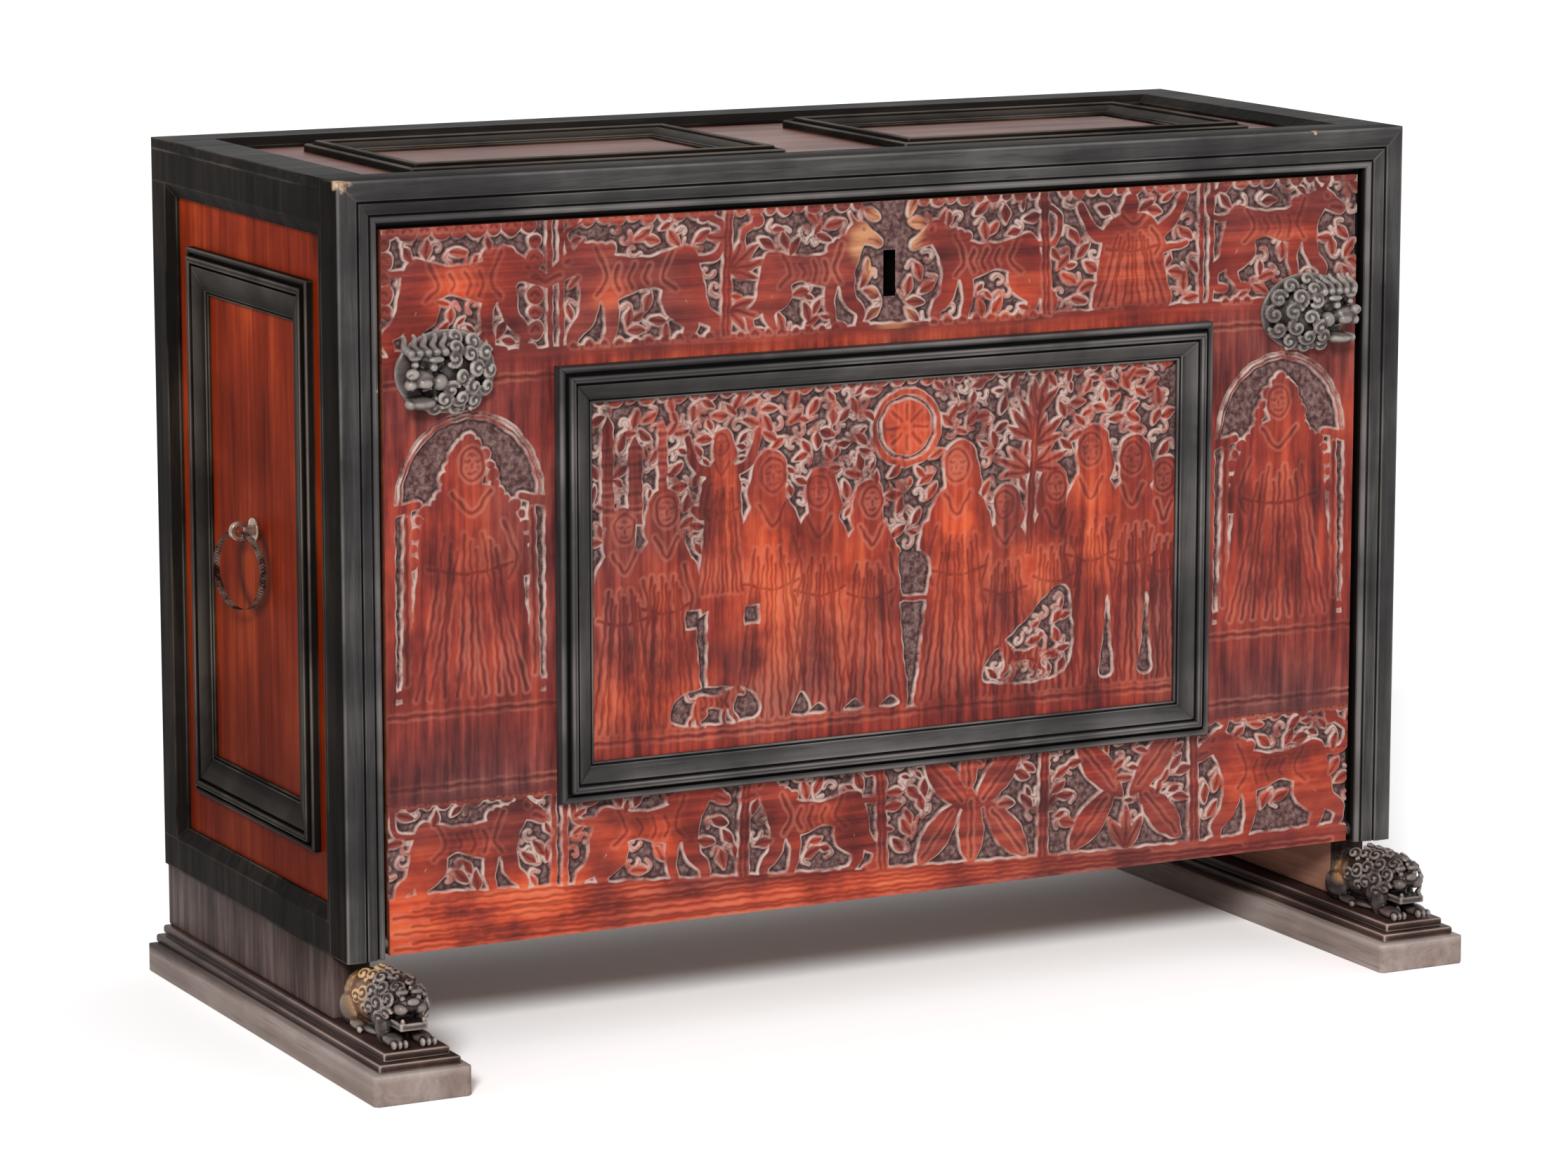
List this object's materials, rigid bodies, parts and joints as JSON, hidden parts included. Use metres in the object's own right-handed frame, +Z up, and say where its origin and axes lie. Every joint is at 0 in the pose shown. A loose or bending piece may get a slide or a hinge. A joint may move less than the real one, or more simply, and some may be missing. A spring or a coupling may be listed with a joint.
{
  "type": "fall-front cabinet",
  "caption": "Table cabinet with a carved fall front, ebonised mouldings, iron side rings, runner feet with crouching lions and a nest of drawers inside.",
  "frame": {"origin": "on the ground, under the middle of the whole object", "axes": "+X to the right as seen from the front, +Y to the back, +Z up"},
  "size_m": [0.91, 0.442, 0.641],
  "materials": {
    "cedar": "waxed",
    "carved_cedar": "waxed, carved and outlined",
    "ebonised_wood": "black stained, worn satin",
    "runner_wood": "worn, waxed",
    "lion_wood": "carved, worn dark stain",
    "carcass_wood": "plain",
    "nest_wood": "waxed",
    "drawer_wood": "waxed",
    "knob_wood": "turned, black stained",
    "iron": "forged, dark"
  },
  "bodies": {
    "carcass": {"back_board": "carcass_wood", "bottom_board": "carcass_wood", "left_lion": "lion_wood", "left_panel_moulding": "ebonised_wood", "left_ring_staple": "iron", "left_runner_plate": "runner_wood", "left_runner_steps": "runner_wood", "left_runner_upright": "runner_wood", "left_side_board": "cedar", "left_side_frame": "ebonised_wood", "left_stile": "ebonised_wood", "nest_case": "nest_wood", "nest_partitions": "nest_wood", "nest_shelves": "nest_wood", "pivot_sockets": "iron", "right_lion": "lion_wood", "right_panel_moulding": "ebonised_wood", "right_ring_staple": "iron", "right_runner_plate": "runner_wood", "right_runner_steps": "runner_wood", "right_runner_upright": "runner_wood", "right_side_board": "cedar", "right_side_frame": "ebonised_wood", "right_stile": "ebonised_wood", "top_board": "cedar", "top_frame": "ebonised_wood", "top_panel_mouldings": "ebonised_wood", "top_rail": "ebonised_wood"},
    "fall": {"fall_panel": "carved_cedar", "frieze_boards": "carved_cedar", "keyhole_block": "carved_cedar", "centre_moulding": "ebonised_wood", "left_lion_mask": "ebonised_wood", "right_lion_mask": "ebonised_wood", "pivot_pins": "iron", "lock_case": "iron", "lock_cover": "iron", "lock_nails": "iron", "lock_spring": "iron"},
    "lock_bolt": {"lock_bolt": "iron"},
    "left_ring": {"left_ring": "iron"},
    "right_ring": {"right_ring": "iron"},
    "bottom_left_drawer": {"bottom_left_drawer": "drawer_wood", "bottom_left_knob": "knob_wood"},
    "bottom_right_drawer": {"bottom_right_drawer": "drawer_wood", "bottom_right_knob": "knob_wood"},
    "lower_left_drawer": {"lower_left_drawer": "drawer_wood", "lower_left_knob": "knob_wood"},
    "lower_right_drawer": {"lower_right_drawer": "drawer_wood", "lower_right_knob": "knob_wood"},
    "upper_left_drawer": {"upper_left_drawer": "drawer_wood", "upper_left_knob": "knob_wood"},
    "upper_right_drawer": {"upper_right_drawer": "drawer_wood", "upper_right_knob": "knob_wood"},
    "top_left_drawer": {"top_left_drawer": "drawer_wood", "top_left_knob": "knob_wood"},
    "top_middle_drawer": {"top_middle_drawer": "drawer_wood", "top_middle_knob": "knob_wood"},
    "top_right_drawer": {"top_right_drawer": "drawer_wood", "top_right_knob": "knob_wood"}
  },
  "joints": [
    {"name": "fall_hinge", "type": "hinge", "parent": "carcass", "child": "fall", "pos_m": [0, -0.124, 0.092], "axis": [1, 0, 0], "range_deg": [0, 90]},
    {"name": "bolt_slide", "type": "slide", "parent": "fall", "child": "lock_bolt", "axis": [0, 0, 1], "range_m": [0, 0.0075]},
    {"name": "left_ring_swing", "type": "hinge", "parent": "carcass", "child": "left_ring", "pos_m": [-0.444, 0.046, 0.3675], "axis": [0, 1, 0], "range_deg": [0, 170]},
    {"name": "right_ring_swing", "type": "hinge", "parent": "carcass", "child": "right_ring", "pos_m": [0.444, 0.046, 0.3675], "axis": [0, -1, 0], "range_deg": [0, 170]},
    {"name": "bottom_left_drawer_slide", "type": "slide", "parent": "carcass", "child": "bottom_left_drawer", "axis": [0, -1, 0], "range_m": [0, 0.079]},
    {"name": "bottom_right_drawer_slide", "type": "slide", "parent": "carcass", "child": "bottom_right_drawer", "axis": [0, -1, 0], "range_m": [0, 0.079]},
    {"name": "lower_left_drawer_slide", "type": "slide", "parent": "carcass", "child": "lower_left_drawer", "axis": [0, -1, 0], "range_m": [0, 0.15]},
    {"name": "lower_right_drawer_slide", "type": "slide", "parent": "carcass", "child": "lower_right_drawer", "axis": [0, -1, 0], "range_m": [0, 0.15]},
    {"name": "upper_left_drawer_slide", "type": "slide", "parent": "carcass", "child": "upper_left_drawer", "axis": [0, -1, 0], "range_m": [0, 0.15]},
    {"name": "upper_right_drawer_slide", "type": "slide", "parent": "carcass", "child": "upper_right_drawer", "axis": [0, -1, 0], "range_m": [0, 0.15]},
    {"name": "top_left_drawer_slide", "type": "slide", "parent": "carcass", "child": "top_left_drawer", "axis": [0, -1, 0], "range_m": [0, 0.15]},
    {"name": "top_middle_drawer_slide", "type": "slide", "parent": "carcass", "child": "top_middle_drawer", "axis": [0, -1, 0], "range_m": [0, 0.15]},
    {"name": "top_right_drawer_slide", "type": "slide", "parent": "carcass", "child": "top_right_drawer", "axis": [0, -1, 0], "range_m": [0, 0.15]}
  ],
  "couplings": [
    {"joint": "bottom_left_drawer_slide", "follows": "fall_hinge", "m_per_rad": 0.05},
    {"joint": "bottom_right_drawer_slide", "follows": "fall_hinge", "m_per_rad": 0.05},
    {"joint": "lower_left_drawer_slide", "follows": "fall_hinge", "m_per_rad": 0.095},
    {"joint": "lower_right_drawer_slide", "follows": "fall_hinge", "m_per_rad": 0.095},
    {"joint": "upper_left_drawer_slide", "follows": "fall_hinge", "m_per_rad": 0.095},
    {"joint": "upper_right_drawer_slide", "follows": "fall_hinge", "m_per_rad": 0.095},
    {"joint": "top_left_drawer_slide", "follows": "fall_hinge", "m_per_rad": 0.095},
    {"joint": "top_middle_drawer_slide", "follows": "fall_hinge", "m_per_rad": 0.095},
    {"joint": "top_right_drawer_slide", "follows": "fall_hinge", "m_per_rad": 0.095}
  ]
}
